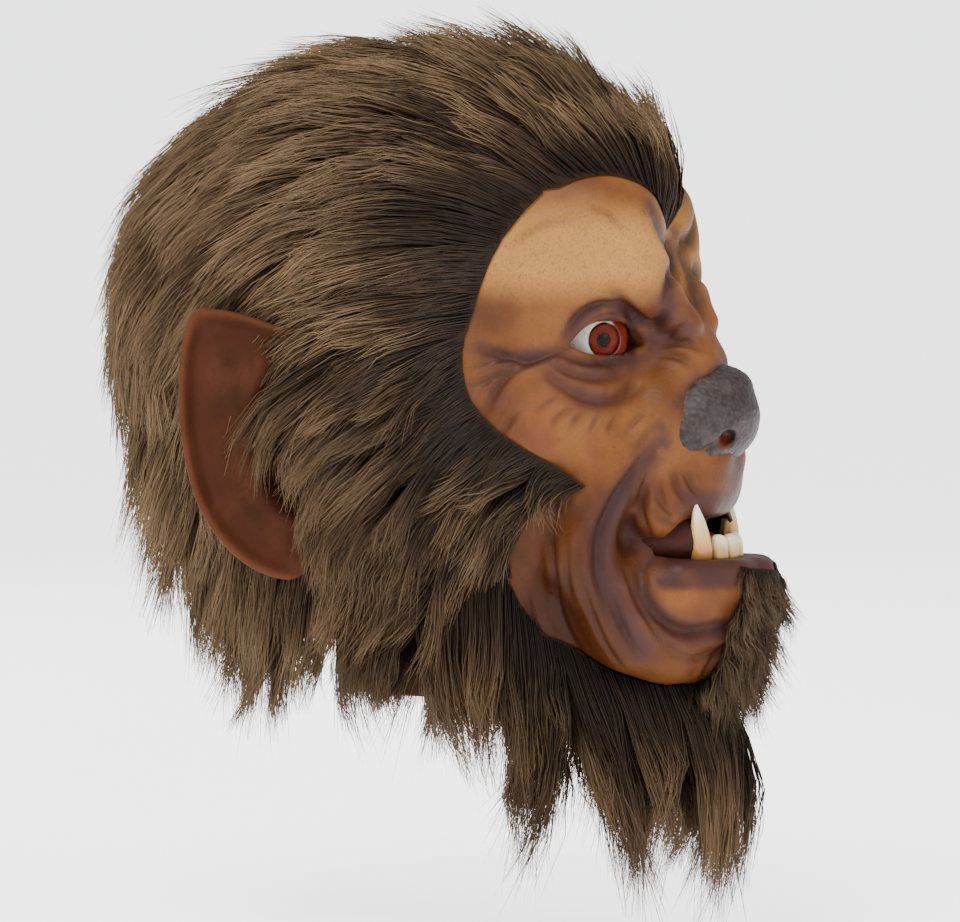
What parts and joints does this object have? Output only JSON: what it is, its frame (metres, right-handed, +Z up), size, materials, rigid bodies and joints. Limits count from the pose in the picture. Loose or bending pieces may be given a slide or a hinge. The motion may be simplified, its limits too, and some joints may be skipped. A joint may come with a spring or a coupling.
{
  "type": "full-head werewolf costume mask",
  "caption": "Full-head latex werewolf mask with faux fur, glass-like eyes, open mouth with lower fangs, pointed ears and a hanging beard, open at the neck.",
  "frame": {"origin": "centre of the neck opening, in the plane of the latex neck rim", "axes": "+Z up, the face looks along -Y, the mask's own left side is at +X"},
  "size_m": [0.228, 0.3111, 0.394],
  "materials": {
    "latex": "air-brushed ochre, brown and purple-grey paint on satin latex",
    "ear_latex": "terracotta-brown painted latex",
    "nose_latex": "dark pebbled leather-like latex, semi-gloss",
    "eye_white": "glossy painted acrylic",
    "iris": "red-brown printed iris",
    "clear_resin": "clear polished resin",
    "tooth_resin": "ivory resin, stained orange-yellow at the roots",
    "gum": "wet-look red-brown latex",
    "lining": "dark brown matt latex",
    "long_fur": "long-pile faux fur, taupe brown",
    "dark_fur": "long-pile faux fur, dark brown with lighter tips",
    "curly_fur": "short curled faux fur"
  },
  "bodies": {
    "root": {"latex_skin": "latex", "right_ear": "ear_latex", "left_ear": "ear_latex", "nose": "nose_latex", "right_eyeball": "eye_white", "left_eyeball": "eye_white", "right_iris": "iris", "left_iris": "iris", "right_cornea": "clear_resin", "left_cornea": "clear_resin", "lower_gum": "gum", "lower_incisor_1": "tooth_resin", "lower_incisor_2": "tooth_resin", "lower_incisor_3": "tooth_resin", "lower_incisor_4": "tooth_resin", "right_lower_fang": "tooth_resin", "left_lower_fang": "tooth_resin", "tongue": "gum", "mouth_lining": "lining", "crown_fur": "long_fur", "right_side_fur": "long_fur", "left_side_fur": "long_fur", "nape_fur": "long_fur", "right_cheek_fur": "dark_fur", "left_cheek_fur": "dark_fur", "right_beard_fur": "dark_fur", "left_beard_fur": "dark_fur", "chin_tuft": "curly_fur"}
  },
  "joints": []
}
